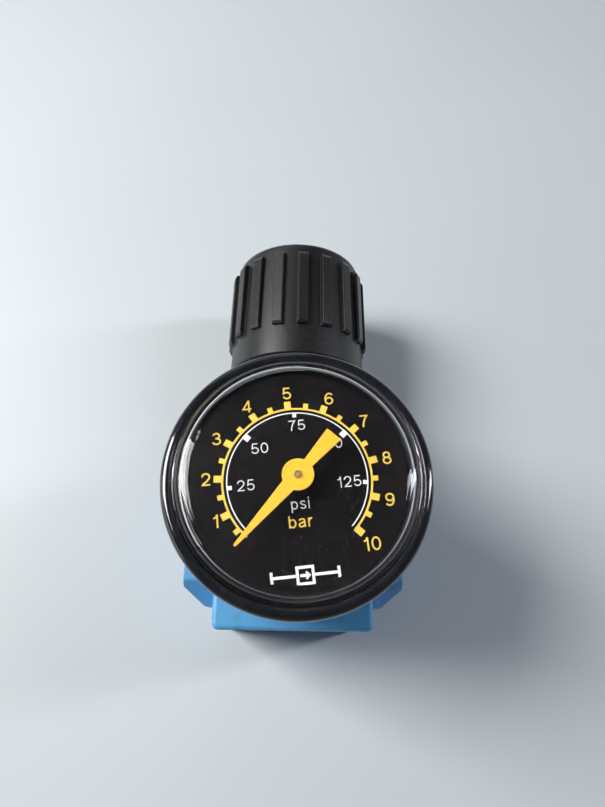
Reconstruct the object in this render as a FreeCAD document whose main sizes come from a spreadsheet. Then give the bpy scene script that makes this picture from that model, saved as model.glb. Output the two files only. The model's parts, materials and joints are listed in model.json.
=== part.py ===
import FreeCAD, Part
import math
import os
import Sketcher

# Air pressure regulator lying on its back, millimetres.
# X runs along the flow from inlet to outlet, Y runs along the adjusting spindle towards the knob,
# Z points up out of the gauge dial. Z = 0 is the flat back of the die-cast body.

doc = FreeCAD.newDocument("air_pressure_regulator")
sheet = doc.addObject("Spreadsheet::Sheet", "dims")
nodes = []

SIZES = [
    # layout
    ("axis_height", 19.5, "height of the spindle and port axes above the back"),
    ("fit_gap", 0.05, "radial gap of a running fit"),
    ("air_gap", 0.3, "gap between parts that pass each other"),
    # die-cast body
    ("body_half", 14.0, "half width of the body block"),
    ("cast_round", 0.8, "rounding of the outer edges of the casting"),
    ("body_front", 33.5, "height of the front face above the back"),
    ("body_low", -21.5, "lower end of the body along the spindle"),
    ("body_top", 11.5, "face the diaphragm is clamped on"),
    ("body_rim", 12.3, "upper end of the body, around the diaphragm"),
    ("boss_reach", 19.9, "port end face from the middle"),
    ("boss_half", 10.5, "half depth of the port boss"),
    ("boss_low", -17.4, "lower side of the port boss"),
    ("boss_shoulder", -13.2, "where the lower facet of the boss begins"),
    ("boss_high", 11.0, "upper side of the port boss"),
    ("corner_cut_reach", 16.4, "inner end of the bevel across the boss corner"),
    ("corner_cut_start", -14.2, "outer end of the bevel across the boss corner"),
    ("port_bore", 5.72, "core radius of a quarter inch pipe thread"),
    ("port_depth", 11.0, "depth of the threaded port"),
    ("port_mouth", 6.9, "radius of the countersink at the port mouth"),
    ("drilling", 1.7, "radius of the air passages"),
    ("drilling_offset", 4.0, "passage offset from the port axis"),
    ("outlet_chamber", 10.5, "radius of the chamber under the diaphragm"),
    ("outlet_floor", 8.0, "floor of that chamber"),
    ("channel", 5.0, "radius of the channel above the valve seat"),
    ("seat_hole", 4.5, "radius of the bore that holds the seat ring"),
    ("seat_low", -3.0, "lower face of the seat ring"),
    ("seat_top", 2.0, "upper face of the seat ring"),
    ("valve_chamber", 7.5, "radius of the chamber below the seat"),
    ("plug_recess", 9.6, "radius of the recess for the plug flange"),
    ("plug_recess_depth", 3.0, "depth of that recess"),
    ("gauge_bore", 4.28, "core radius of an eighth inch pipe thread"),
    ("gauge_bore_depth", 8.5, "depth of the gauge port"),
    ("rear_hole", 1.65, "radius of the tapped holes in the back"),
    ("rear_hole_reach", 9.0, "rear hole from the middle"),
    ("rear_hole_row", -15.5, "row of the rear holes along the spindle"),
    ("rear_hole_depth", 7.0, "depth of the rear holes"),
    # bonnet and its screws
    ("bonnet_low", 12.3, "underside of the bonnet flange"),
    ("flange_thick", 4.2, "thickness of the bonnet flange"),
    ("neck", 13.0, "radius of the threaded bonnet neck"),
    ("neck_length", 22.5, "bonnet height to the shoulder under the knob"),
    ("nose", 11.8, "radius of the bonnet nose inside the knob"),
    ("nose_length", 25.7, "full height of the bonnet"),
    ("spring_room", 11.0, "radius of the spring chamber"),
    ("spring_room_depth", 18.9, "height of the spring chamber"),
    ("key_reach", 12.2, "outer end of the guide grooves"),
    ("key_half", 1.8, "half width of the guide grooves"),
    ("key_start", 8.0, "lower end of the guide grooves"),
    ("journal", 4.1, "radius of the spindle where it passes the bonnet"),
    ("screw_reach", 11.5, "bonnet screw from the axis, both ways"),
    ("screw_shank", 1.5, "radius of the bonnet screws"),
    ("screw_head", 2.4, "radius of the screw heads"),
    ("screw_head_tall", 2.8, "height of the screw heads"),
    ("screw_below", 8.5, "thread length inside the body"),
    ("socket_key", 1.35, "corner radius of the screw sockets"),
    ("nut_thick", 5.0, "thickness of the panel nut"),
    ("nut_outer", 16.9, "radius over the panel nut"),
    ("nut_start", 20.4, "underside of the panel nut"),
    # knob
    ("knob_low", 30.9, "lower edge of the knob"),
    ("knob_tall", 26.9, "height of the knob"),
    ("knob_skirt", 13.8, "radius of the knob between the ribs at the top"),
    ("skirt_edge", 14.7, "radius of the smooth skirt at the lower edge"),
    ("skirt_room", 13.3, "inner radius of the skirt around the bonnet neck"),
    ("skirt_depth", 4.3, "depth of the skirt below the inner step"),
    ("knob_room", 12.4, "inner radius of the knob"),
    ("knob_roof", 23.5, "underside of the knob roof"),
    ("knob_hub", 6.5, "radius of the hub inside the knob"),
    ("knob_hub_low", 11.3, "lower end of the hub"),
    ("knob_round", 1.6, "rounding of the knob shoulder"),
    ("knob_phase", -7.0, "turn of the rib pattern at rest, degrees"),
    ("rib_count", 18, "grip ribs around the knob"),
    ("rib_outer", 15.15, "radius over the ribs at the top"),
    ("rib_outer_low", 15.5, "radius over the ribs at their lower end"),
    ("rib_low", 6.5, "lower end of a rib above the knob edge"),
    ("rib_high", 23.8, "upper end of a rib above the knob edge"),
    ("rib_half", 1.1, "half width of a rib"),
    ("rib_round", 0.25, "rounding along a rib"),
    ("cap_radius", 9.2, "radius of the cap in the knob top"),
    ("cap_thick", 0.8, "thickness of the cap"),
    ("drive_hex", 3.4, "corner radius of the hexagon that drives the knob"),
    # spindle, nut and main spring
    ("thread", 3.0, "radius of the adjusting thread"),
    ("spindle_low", 22.0, "lower end of the spindle"),
    ("collar", 6.0, "radius of the thrust collar"),
    ("collar_low", 29.8, "underside of the thrust collar"),
    ("collar_thick", 1.1, "thickness of the thrust collar"),
    ("clip_low", 38.3, "underside of the retaining clip"),
    ("clip_thick", 0.8, "thickness of the retaining clip"),
    ("drive_low", 39.6, "start of the driving hexagon"),
    ("drive_top", 53.5, "upper end of the spindle"),
    ("follower_low", 25.5, "spring side of the spring nut"),
    ("follower_thick", 3.9, "thickness of the spring nut"),
    ("follower_radius", 9.0, "radius of the spring nut"),
    ("spring_mean", 6.8, "mean radius of the main spring"),
    ("spring_wire", 0.8, "wire radius of the main spring"),
    ("spring_turns", 4.5, "turns of the main spring"),
    # diaphragm group
    ("diaphragm_radius", 13.0, "radius of the diaphragm"),
    ("plate_radius", 7.8, "radius of the diaphragm plates"),
    ("plate_thick", 1.3, "thickness of the upper diaphragm plate"),
    # valve
    ("stem", 1.5, "radius of the valve stem"),
    ("valve_head", 5.6, "radius of the valve head"),
    ("seat_bore", 3.0, "air bore of the seat ring"),
    ("plug_face", -21.3, "outer face of the bottom plug"),
    ("plug_room", 5.4, "radius of the cup inside the plug"),
    ("valve_spring_mean", 4.2, "mean radius of the valve spring"),
    ("valve_spring_wire", 0.4, "wire radius of the valve spring"),
    # gauge
    ("dial_level", 54.0, "height of the dial face"),
    ("dial_radius", 18.3, "radius of the dial"),
    ("dial_thick", 0.5, "thickness of the dial"),
    ("case_back", 41.0, "back of the gauge case"),
    ("case_outer", 20.4, "radius over the gauge case"),
    ("case_barrel", 19.6, "radius of the case barrel"),
    ("case_inner", 18.7, "radius inside the case rim"),
    ("case_rim", 56.9, "upper edge of the case rim"),
    ("rim_round", 1.1, "outer rounding of the case rim"),
    ("rim_round_inside", 0.5, "inner rounding of the case rim"),
    ("case_wall", 1.0, "thickness of the case"),
    ("socket_flats", 6.0, "half width over the spanner flats"),
    ("socket_low", 25.6, "lower end of the gauge thread"),
    ("washer_thick", 1.0, "thickness of the gauge washer"),
    ("washer_radius", 6.9, "radius of the gauge washer"),
    ("crystal_outer", 18.55, "radius over the crystal lip"),
    ("crystal_dome", 18.2, "radius over the crystal above its lip"),
    ("crystal_inner", 17.2, "radius inside the crystal wall"),
    ("crystal_lip", 3.0, "height of the crystal lip above the dial"),
    ("crystal_top", 59.4, "front face of the crystal"),
    ("crystal_thick", 1.2, "thickness of the crystal"),
    ("crystal_round", 2.35, "rounding of the crystal shoulder"),
    ("pointer_level", 57.0, "underside of the pointer"),
    ("pointer_thick", 0.35, "thickness of the pointer"),
    ("pointer_hub", 2.38, "radius of the pointer hub"),
    ("needle_tip", 13.7, "length of the needle from the centre"),
    ("tail_end", 8.3, "length of the pointer tail from the centre"),
    ("tail_half", 1.33, "half width of the tail at its end"),
    ("pointer_rest", 230.0, "direction of the needle at rest, degrees from X"),
    ("arbor", 0.6, "radius of the pointer arbor"),
    ("gear_module", 0.2, "module of the movement gears"),
    ("pinion_teeth", 12, "teeth on the pointer pinion"),
    ("sector_teeth", 84, "teeth on a full circle of the sector"),
    ("sector_bearing", 315.0, "direction of the sector pivot from the dial centre, degrees"),
    ("tube_mean", 14.6, "mean radius of the tube spring"),
    ("tube_low", 44.5, "lower edge of the tube spring"),
    ("tube_tall", 4.6, "width of the tube spring along Z"),
    ("tube_half", 0.9, "half thickness of the tube spring"),
]


class Dim:
    """A number together with the spreadsheet formula that yields it."""

    def __init__(self, value, text):
        self.value = value
        self.text = text

    def _with(self, other, sign, value):
        other = as_dim(other)
        return Dim(value(self.value, other.value), "(%s %s %s)" % (self.text, sign, other.text))

    def __add__(self, other):
        return self._with(other, "+", lambda a, b: a + b)

    def __sub__(self, other):
        return self._with(other, "-", lambda a, b: a - b)

    def __mul__(self, other):
        return self._with(other, "*", lambda a, b: a * b)

    def __truediv__(self, other):
        return self._with(other, "/", lambda a, b: a / b)

    def __radd__(self, other):
        return as_dim(other) + self

    def __rsub__(self, other):
        return as_dim(other) - self

    def __neg__(self):
        return Dim(-self.value, "(0 - %s)" % self.text)


def as_dim(value):
    """Wrap a plain number, leave a Dim as it is."""
    if isinstance(value, Dim):
        return value
    return Dim(float(value), "%.6g" % value if value >= 0 else "(0 - %.6g)" % -value)


class Sizes:
    """Every driving dimension by name."""


size = Sizes()
for row, (alias, number, meaning) in enumerate(SIZES, start=1):
    sheet.set("A%d" % row, alias)
    sheet.set("B%d" % row, "%g" % number)
    sheet.set("C%d" % row, meaning)
    sheet.setAlias("B%d" % row, alias)
    setattr(size, alias, Dim(float(number), "dims.%s" % alias))
doc.recompute()

ALONG_X = FreeCAD.Rotation(FreeCAD.Vector(0, 1, 0), 90)
ALONG_Y = FreeCAD.Rotation(FreeCAD.Vector(1, 0, 0), -90)
ALONG_Z = FreeCAD.Rotation()
KNOB_TURN = FreeCAD.Rotation(FreeCAD.Vector(0, 1, 0), size.knob_phase.value)


def place(feature, x=0, y=0, z=0, turn=ALONG_Z):
    """Position a feature and bind its base to the spreadsheet."""
    base = [as_dim(value) for value in (x, y, z)]
    feature.Placement = FreeCAD.Placement(FreeCAD.Vector(*[value.value for value in base]), turn)
    for letter, value in zip("xyz", base):
        if "dims." in value.text:
            feature.setExpression("Placement.Base.%s" % letter, value.text)


def bind(feature, **properties):
    """Set properties and bind the ones that come from the spreadsheet."""
    for name, value in properties.items():
        value = as_dim(value)
        setattr(feature, name, value.value)
        if "dims." in value.text:
            feature.setExpression(name, value.text)


def new_body(label, x=0, y=0, z=0, turn=ALONG_Z):
    """Start one sub-part as a body with its own placement."""
    body = doc.addObject("PartDesign::Body", label)
    body.Label = label
    place(body, x, y, z, turn)
    nodes.append(body)
    return body


def origin_feature(body, role):
    """Find one of a body's own origin planes or axes."""
    for feature in body.Origin.OriginFeatures:
        if feature.Role == role:
            return feature
    raise ValueError(role)


def outline(body, name, role, points, offset=0):
    """Draw a closed polygon whose corners are held by the spreadsheet."""
    sketch = body.newObject("Sketcher::SketchObject", name)
    sketch.AttachmentSupport = [(origin_feature(body, role), "")]
    sketch.MapMode = "FlatFace"
    offset = as_dim(offset)
    sketch.AttachmentOffset = FreeCAD.Placement(FreeCAD.Vector(0, 0, offset.value), ALONG_Z)
    if "dims." in offset.text:
        sketch.setExpression("AttachmentOffset.Base.z", offset.text)
    corners = [(as_dim(x), as_dim(y)) for x, y in points]
    spots = [FreeCAD.Vector(x.value, y.value, 0) for x, y in corners]
    count = len(spots)
    for index in range(count):
        sketch.addGeometry(Part.LineSegment(spots[index], spots[(index + 1) % count]), False)
    for index in range(count):
        sketch.addConstraint(Sketcher.Constraint("Coincident", index, 2, (index + 1) % count, 1))
    for index, corner in enumerate(corners):
        for kind, axis, value in (("DistanceX", -2, corner[0]), ("DistanceY", -1, corner[1])):
            if abs(value.value) < 1e-9:
                sketch.addConstraint(Sketcher.Constraint("PointOnObject", index, 1, axis))
                continue
            held = sketch.addConstraint(Sketcher.Constraint(kind, -1, 1, index, 1, value.value))
            if "dims." in value.text:
                sketch.setExpression("Constraints[%d]" % held, value.text)
    return sketch


def revolve(body, name, role, points, angle=360, kind="PartDesign::Revolution"):
    """Turn a profile of (radius, height) corners about the sketch's upright axis."""
    sketch = outline(body, name + "_profile", role, points)
    turned = body.newObject(kind, name)
    turned.Profile = sketch
    turned.ReferenceAxis = (sketch, ["V_Axis"])
    turned.Angle = angle
    return turned


def pad(body, name, role, points, length, offset=0, midplane=False, reverse=False):
    """Extrude a polygon along the normal of its plane."""
    sketch = outline(body, name + "_profile", role, points, offset)
    solid = body.newObject("PartDesign::Pad", name)
    solid.Profile = sketch
    solid.Midplane = midplane
    solid.Reversed = reverse
    bind(solid, Length=length)
    return solid


def box(body, name, kind, low, high):
    """Add or cut a box between two corners."""
    solid = body.newObject("PartDesign::%sBox" % kind, name)
    spans = [as_dim(b) - a for a, b in zip(low, high)]
    bind(solid, Length=spans[0], Width=spans[1], Height=spans[2])
    place(solid, *low)
    return solid


def rod(body, name, kind, radius, length, start, turn):
    """Add or cut a cylinder from a start point along one of the main axes."""
    solid = body.newObject("PartDesign::%sCylinder" % kind, name)
    bind(solid, Radius=radius, Height=length)
    place(solid, *start, turn=turn)
    return solid


def hexagon(body, name, kind, corner_radius, length, start, turn):
    """Add or cut a hexagonal prism."""
    solid = body.newObject("PartDesign::%sPrism" % kind, name)
    solid.Polygon = 6
    bind(solid, Circumradius=corner_radius, Height=length)
    place(solid, *start, turn=turn)
    return solid


def round_edges(body, name, radius, wanted, kind="PartDesign::Fillet"):
    """Round or bevel those edges of the present tip for which wanted(edge) is true."""
    doc.recompute()
    tip = body.Tip
    names = ["Edge%d" % number for number, edge in enumerate(tip.Shape.Edges, start=1) if wanted(edge)]
    if not names:
        raise ValueError("no edge chosen for " + name)
    blend = body.newObject(kind, name)
    blend.Base = (tip, names)
    bind(blend, **{"Radius" if kind.endswith("Fillet") else "Size": radius})
    return blend


def around(body, name, feature, role, count):
    """Repeat a feature evenly about one of the body's axes."""
    pattern = body.newObject("PartDesign::PolarPattern", name)
    pattern.Originals = [feature]
    pattern.Axis = (origin_feature(body, role), [""])
    pattern.Angle = 360
    body.Tip = pattern
    count = as_dim(count)
    pattern.Occurrences = int(count.value)
    if "dims." in count.text:
        pattern.setExpression("Occurrences", count.text)
    return pattern


def is_circle(edge, radius, centre):
    """True for a full circle of this radius about this point."""
    curve = edge.Curve
    if not hasattr(curve, "Radius") or not hasattr(curve, "Center"):
        return False
    return abs(curve.Radius - radius) < 1e-3 and curve.Center.distanceToPoint(centre) < 1e-3


def lies_along(edge, direction, tests):
    """True for a straight edge close to a direction whose middle satisfies every test."""
    if edge.Curve.TypeId != "Part::GeomLine":
        return False
    if abs(abs(edge.tangentAt(edge.FirstParameter).dot(direction)) - 1) > 1e-3:
        return False
    return tests(edge.CenterOfMass)


def turned_on_spindle(label, low, points, turn=ALONG_Z):
    """A part turned about the spindle axis; heights count from its lower end."""
    body = new_body(label, y=low, z=size.axis_height, turn=turn)
    revolve(body, "turned", "XY_Plane", points)
    return body


def turned_on_gauge(label, low, points, x=0, y=0):
    """A part turned about an upright axis; heights count from its lower end."""
    body = new_body(label, x=x, y=y, z=low)
    revolve(body, "turned", "XZ_Plane", points)
    return body


def coil(label, mean, wire, length, turns, low):
    """A round-wire compression spring about the spindle axis with its ends ground flat."""
    helix = doc.addObject("Part::Helix", label + "_path")
    bind(helix, Radius=mean, Height=length - wire, Pitch=(length - wire) / turns)
    section = doc.addObject("Part::Circle", label + "_wire")
    bind(section, Radius=wire)
    place(section, x=mean, turn=FreeCAD.Rotation(FreeCAD.Vector(1, 0, 0), 90))
    swept = doc.addObject("Part::Sweep", label + "_swept")
    swept.Sections = [section]
    swept.Spine = (helix, ["Edge1"])
    swept.Solid = True
    swept.Frenet = True
    keep = doc.addObject("Part::Cylinder", label + "_ends")
    bind(keep, Radius=mean + wire * 2, Height=length)
    place(keep, z=-wire / 2)
    spring = doc.addObject("Part::Common", label)
    spring.Base = swept
    spring.Tool = keep
    spring.Label = label
    place(spring, y=low + wire / 2, z=size.axis_height, turn=ALONG_Y)
    nodes.append(spring)
    return spring


# ---------------------------------------------------------------- die-cast body
s = size
body = new_body("regulator_body")
box(body, "block", "Additive", (-s.body_half, s.body_low, 0), (s.body_half, s.body_rim, s.body_front))
round_edges(body, "block_corners", 1.1, lambda e: lies_along(
    e, FreeCAD.Vector(0, 0, 1), lambda m: m.y < s.body_low.value + 1))
round_edges(body, "block_front", s.cast_round, lambda e: (
    e.CenterOfMass.z > s.body_front.value - 0.01 and e.CenterOfMass.y < s.body_rim.value - 0.01))
mid = s.axis_height
pad(body, "port_boss", "YZ_Plane", [
    (s.boss_low, mid - 5.5),
    (s.boss_shoulder, mid - s.boss_half),
    (s.boss_high - 3, mid - s.boss_half),
    (s.boss_high, mid - s.boss_half + 3),
    (s.boss_high, mid + s.boss_half - 3),
    (s.boss_high - 3, mid + s.boss_half),
    (s.boss_shoulder, mid + s.boss_half),
    (s.boss_low, mid + 5.5),
], s.boss_reach * 2, midplane=True)
round_edges(body, "boss_edges", s.cast_round, lambda e: lies_along(
    e, FreeCAD.Vector(1, 0, 0), lambda m: abs(m.x) > s.body_half.value))
for side, name in ((-1, "left"), (1, "right")):
    bevel = outline(body, "corner_bevel_%s_profile" % name, "XY_Plane", [
        (s.corner_cut_reach * side, s.boss_low),
        (s.boss_reach * side, s.corner_cut_start),
        ((s.boss_reach + 1) * side, s.corner_cut_start),
        ((s.boss_reach + 1) * side, s.boss_low - 1),
        (s.corner_cut_reach * side, s.boss_low - 1),
    ])
    cut = body.newObject("PartDesign::Pocket", "corner_bevel_%s" % name)
    cut.Profile = bevel
    cut.Type = "Length"
    cut.Reversed = True
    bind(cut, Length=s.body_front + 1)
rod(body, "diaphragm_recess", "Subtractive", s.diaphragm_radius + s.fit_gap, s.body_rim - s.body_top,
    (0, s.body_top, mid), ALONG_Y)
rod(body, "outlet_chamber", "Subtractive", s.outlet_chamber, s.body_top - s.outlet_floor,
    (0, s.outlet_floor, mid), ALONG_Y)
rod(body, "channel", "Subtractive", s.channel, s.outlet_floor - s.seat_top, (0, s.seat_top, mid), ALONG_Y)
rod(body, "seat_bore", "Subtractive", s.seat_hole, s.seat_top - s.seat_low, (0, s.seat_low, mid), ALONG_Y)
rod(body, "valve_chamber", "Subtractive", s.valve_chamber, s.seat_low - s.body_low,
    (0, s.body_low, mid), ALONG_Y)
rod(body, "plug_recess", "Subtractive", s.plug_recess, s.plug_recess_depth, (0, s.body_low, mid), ALONG_Y)
rod(body, "inlet_bore", "Subtractive", s.port_bore, s.port_depth, (-s.boss_reach, 0, mid), ALONG_X)
rod(body, "outlet_bore", "Subtractive", s.port_bore, s.port_depth,
    (s.boss_reach - s.port_depth, 0, mid), ALONG_X)
rod(body, "inlet_drilling", "Subtractive", s.drilling, 8, (-13, -s.drilling_offset, mid), ALONG_X)
rod(body, "outlet_drilling", "Subtractive", s.drilling, 10, (3, s.drilling_offset, mid), ALONG_X)
rod(body, "gauge_bore", "Subtractive", s.gauge_bore, s.gauge_bore_depth,
    (0, 0, s.body_front - s.gauge_bore_depth), ALONG_Z)
rod(body, "gauge_drilling", "Subtractive", 0.9, s.body_front - mid - 2, (0, 3.1, mid), ALONG_Z)
for number, (x_side, z_side) in enumerate(((-1, -1), (1, -1), (1, 1), (-1, 1)), start=1):
    rod(body, "bonnet_tap_%d" % number, "Subtractive", s.screw_shank,
        s.screw_below + s.body_rim - s.body_top,
        (s.screw_reach * x_side, s.body_top - s.screw_below, mid + s.screw_reach * z_side), ALONG_Y)
for side, name in ((-1, "left"), (1, "right")):
    rod(body, "rear_tap_%s" % name, "Subtractive", s.rear_hole, s.rear_hole_depth,
        (s.rear_hole_reach * side, s.rear_hole_row, 0), ALONG_Z)
port_mouths = [FreeCAD.Vector(side * s.boss_reach.value, 0, mid.value) for side in (-1, 1)]
round_edges(body, "port_countersinks", s.port_mouth - s.port_bore, lambda e: any(
    is_circle(e, s.port_bore.value, spot) for spot in port_mouths), kind="PartDesign::Chamfer")

# ---------------------------------------------------------------- valve, seat and bottom plug
turned_on_spindle("valve_seat", s.seat_low, [
    (s.seat_bore, 0),
    (s.seat_bore + 0.7, 0),
    (s.seat_hole, 0.5),
    (s.seat_hole, s.seat_top - s.seat_low),
    (s.seat_bore, s.seat_top - s.seat_low),
])
turned_on_spindle("valve_stem", -15.0, [
    (0, 0),
    (s.stem - 0.3, 0),
    (s.stem, 0.3),
    (s.stem, 8.0),
    (s.valve_head, 8.0),
    (s.valve_head, 10.2),
    (s.stem, 10.2),
    (s.stem, 24.3),
    (s.stem - 0.3, 24.6),
    (0, 24.6),
])
turned_on_spindle("valve_seal", -4.8, [
    (s.stem, 0),
    (s.valve_head, 0),
    (s.valve_head, 1.3),
    (s.valve_head - 0.4, 1.7),
    (s.stem, 1.7),
])
coil("valve_spring", s.valve_spring_mean, s.valve_spring_wire, as_dim(11.0), 6, as_dim(-18.0))
plug = turned_on_spindle("bottom_plug", s.plug_face, [
    (0, 0),
    (s.plug_recess - 0.5, 0),
    (s.plug_recess - 0.2, 0.3),
    (s.plug_recess - 0.2, 2.0),
    (s.valve_chamber, 2.0),
    (s.valve_chamber, 9.2),
    (s.plug_room, 9.2),
    (s.plug_room, 3.3),
    (2.9, 3.3),
    (2.9, 9.0),
    (s.stem + s.fit_gap, 9.0),
    (s.stem + s.fit_gap, 4.9),
    (0, 4.9),
])
hexagon(plug, "key_socket", "Subtractive", 4.6, 2.0, (0, 0, 0), ALONG_Y)
turned_on_spindle("plug_washer", s.plug_face + 2.0, [
    (s.valve_chamber, 0),
    (s.plug_recess - 0.2, 0),
    (s.plug_recess - 0.2, 0.8),
    (s.valve_chamber, 0.8),
])

# ---------------------------------------------------------------- diaphragm group
turned_on_spindle("diaphragm", s.body_top, [
    (2.6, 0),
    (s.plate_radius + 0.2, 0),
    (s.plate_radius + 0.5, -0.9),
    (s.outlet_chamber - 0.7, -0.9),
    (s.outlet_chamber - 0.4, 0),
    (s.diaphragm_radius, 0),
    (s.diaphragm_radius, 0.8),
    (s.outlet_chamber - 0.8, 0.8),
    (s.outlet_chamber - 1.2, -0.2),
    (s.plate_radius + 1.0, -0.2),
    (s.plate_radius + 0.6, 0.8),
    (2.6, 0.8),
])
turned_on_spindle("diaphragm_plate", s.bonnet_low, [
    (1.2, 0),
    (s.plate_radius, 0),
    (s.plate_radius, s.plate_thick - 0.3),
    (s.plate_radius - 0.3, s.plate_thick),
    (5.6, s.plate_thick),
    (5.3, s.plate_thick + 1.4),
    (4.3, s.plate_thick + 1.4),
    (4.3, s.plate_thick),
    (1.2, s.plate_thick),
])
turned_on_spindle("relief_seat", s.body_top - 1.6, [
    (1.0, 0),
    (s.plate_radius - 2.2, 0),
    (s.plate_radius - 1.9, 0.3),
    (s.plate_radius - 1.9, 1.6),
    (2.6, 1.6),
    (2.6, 2.4),
    (1.0, 2.4),
])

# ---------------------------------------------------------------- bonnet, screws and panel nut
bonnet = new_body("bonnet", y=s.bonnet_low, z=mid)
box(bonnet, "flange", "Additive", (-s.body_half, 0, -s.body_half), (s.body_half, s.flange_thick, s.body_half))
round_edges(bonnet, "flange_corners", 2.0, lambda e: lies_along(
    e, FreeCAD.Vector(0, 1, 0), lambda m: True))
rod(bonnet, "neck", "Additive", s.neck, s.neck_length, (0, 0, 0), ALONG_Y)
rod(bonnet, "nose", "Additive", s.nose, s.nose_length, (0, 0, 0), ALONG_Y)
rod(bonnet, "spring_room", "Subtractive", s.spring_room, s.spring_room_depth, (0, 0, 0), ALONG_Y)
box(bonnet, "guide_grooves", "Subtractive", (-s.key_reach, s.key_start, -s.key_half),
    (s.key_reach, s.spring_room_depth, s.key_half))
rod(bonnet, "spindle_bore", "Subtractive", s.journal + s.fit_gap, s.nose_length, (0, 0, 0), ALONG_Y)
rod(bonnet, "vent", "Subtractive", 0.8, 6, (-s.neck - 1, 6.0, 0), ALONG_X)
revolve(bonnet, "nose_recess", "XY_Plane", [
    (6.4, s.neck_length - 0.4),
    (s.nose - 1.8, s.neck_length - 0.4),
    (s.nose - 1.8, s.nose_length + 1),
    (6.4, s.nose_length + 1),
], kind="PartDesign::Groove")
revolve(bonnet, "detent_groove", "XY_Plane", [
    (s.nose - 0.55, s.neck_length + 1.2),
    (s.nose + 0.5, s.neck_length + 1.2),
    (s.nose + 0.5, s.neck_length + 2.2),
    (s.nose - 0.55, s.neck_length + 2.2),
], kind="PartDesign::Groove")
for number, (x_side, z_side) in enumerate(((-1, -1), (1, -1), (1, 1), (-1, 1)), start=1):
    rod(bonnet, "screw_hole_%d" % number, "Subtractive", s.screw_shank + 0.2, s.flange_thick,
        (s.screw_reach * x_side, 0, s.screw_reach * z_side), ALONG_Y)
for number, (x_side, z_side) in enumerate(((-1, -1), (1, -1), (1, 1), (-1, 1)), start=1):
    shank = s.screw_below + s.bonnet_low - s.body_top + s.flange_thick
    screw = new_body("bonnet_screw_%d" % number, x=s.screw_reach * x_side,
                     y=s.bonnet_low + s.flange_thick, z=mid + s.screw_reach * z_side)
    revolve(screw, "turned", "XY_Plane", [
        (0, -shank + 0.6),
        (s.screw_shank - 0.4, -shank + 0.6),
        (s.screw_shank, -shank + 1.0),
        (s.screw_shank, 0),
        (s.screw_head, 0),
        (s.screw_head, s.screw_head_tall - 0.3),
        (s.screw_head - 0.3, s.screw_head_tall),
        (0, s.screw_head_tall),
    ])
    hexagon(screw, "key_socket", "Subtractive", s.socket_key, 1.5, (0, s.screw_head_tall - 1.5, 0), ALONG_Y)
panel_nut = turned_on_spindle("panel_nut", s.nut_start, [
    (s.neck, 0),
    (s.nut_outer - 0.4, 0),
    (s.nut_outer, 0.4),
    (s.nut_outer, s.nut_thick - 0.4),
    (s.nut_outer - 0.4, s.nut_thick),
    (s.neck, s.nut_thick),
])
notch = rod(panel_nut, "grip_notch", "Subtractive", 1.0, s.nut_thick, (s.nut_outer + 0.35, 0, 0), ALONG_Y)
around(panel_nut, "grip_notches", notch, "Y_Axis", 20)
turned_on_spindle("detent_ring", s.bonnet_low + s.neck_length + 1.3, [
    (s.nose - 0.5, 0),
    (s.nose + 0.1, 0),
    (s.nose + 0.25, 0.25),
    (s.nose + 0.25, 0.55),
    (s.nose + 0.1, 0.8),
    (s.nose - 0.5, 0.8),
])

# ---------------------------------------------------------------- spindle, spring nut and main spring
spindle = turned_on_spindle("spindle", s.spindle_low, [
    (0, 0),
    (s.thread - 0.5, 0),
    (s.thread, 0.5),
    (s.thread, s.collar_low - s.spindle_low),
    (s.collar, s.collar_low - s.spindle_low),
    (s.collar, s.collar_low - s.spindle_low + s.collar_thick),
    (s.journal, s.collar_low - s.spindle_low + s.collar_thick),
    (s.journal, s.clip_low - s.spindle_low),
    (s.journal - 0.6, s.clip_low - s.spindle_low),
    (s.journal - 0.6, s.clip_low - s.spindle_low + s.clip_thick),
    (s.journal, s.clip_low - s.spindle_low + s.clip_thick),
    (s.journal, s.drive_low - s.spindle_low),
    (0, s.drive_low - s.spindle_low),
], turn=KNOB_TURN)
hexagon(spindle, "knob_drive", "Additive", s.drive_hex, s.drive_top - s.drive_low,
        (0, s.drive_low - s.spindle_low, 0), ALONG_Y)
turned_on_spindle("retaining_clip", s.clip_low, [
    (s.journal - 0.6, 0),
    (s.collar, 0),
    (s.collar, s.clip_thick),
    (s.journal - 0.6, s.clip_thick),
])
follower = turned_on_spindle("spring_nut", s.follower_low, [
    (s.thread + s.fit_gap, -1.8),
    (5.3, -1.8),
    (5.6, 0),
    (s.follower_radius, 0),
    (s.follower_radius, s.follower_thick),
    (s.thread + s.fit_gap, s.follower_thick),
])
for side, name in ((-1, "left"), (1, "right")):
    reach = s.key_reach - s.air_gap
    low_x = s.follower_radius - 1 if side > 0 else -reach
    high_x = reach if side > 0 else 1 - s.follower_radius
    box(follower, "guide_lug_%s" % name, "Additive", (low_x, 0, s.air_gap - s.key_half),
        (high_x, s.follower_thick, s.key_half - s.air_gap))
coil("main_spring", s.spring_mean, s.spring_wire, s.follower_low - s.bonnet_low - s.plate_thick,
     s.spring_turns, s.bonnet_low + s.plate_thick)

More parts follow.
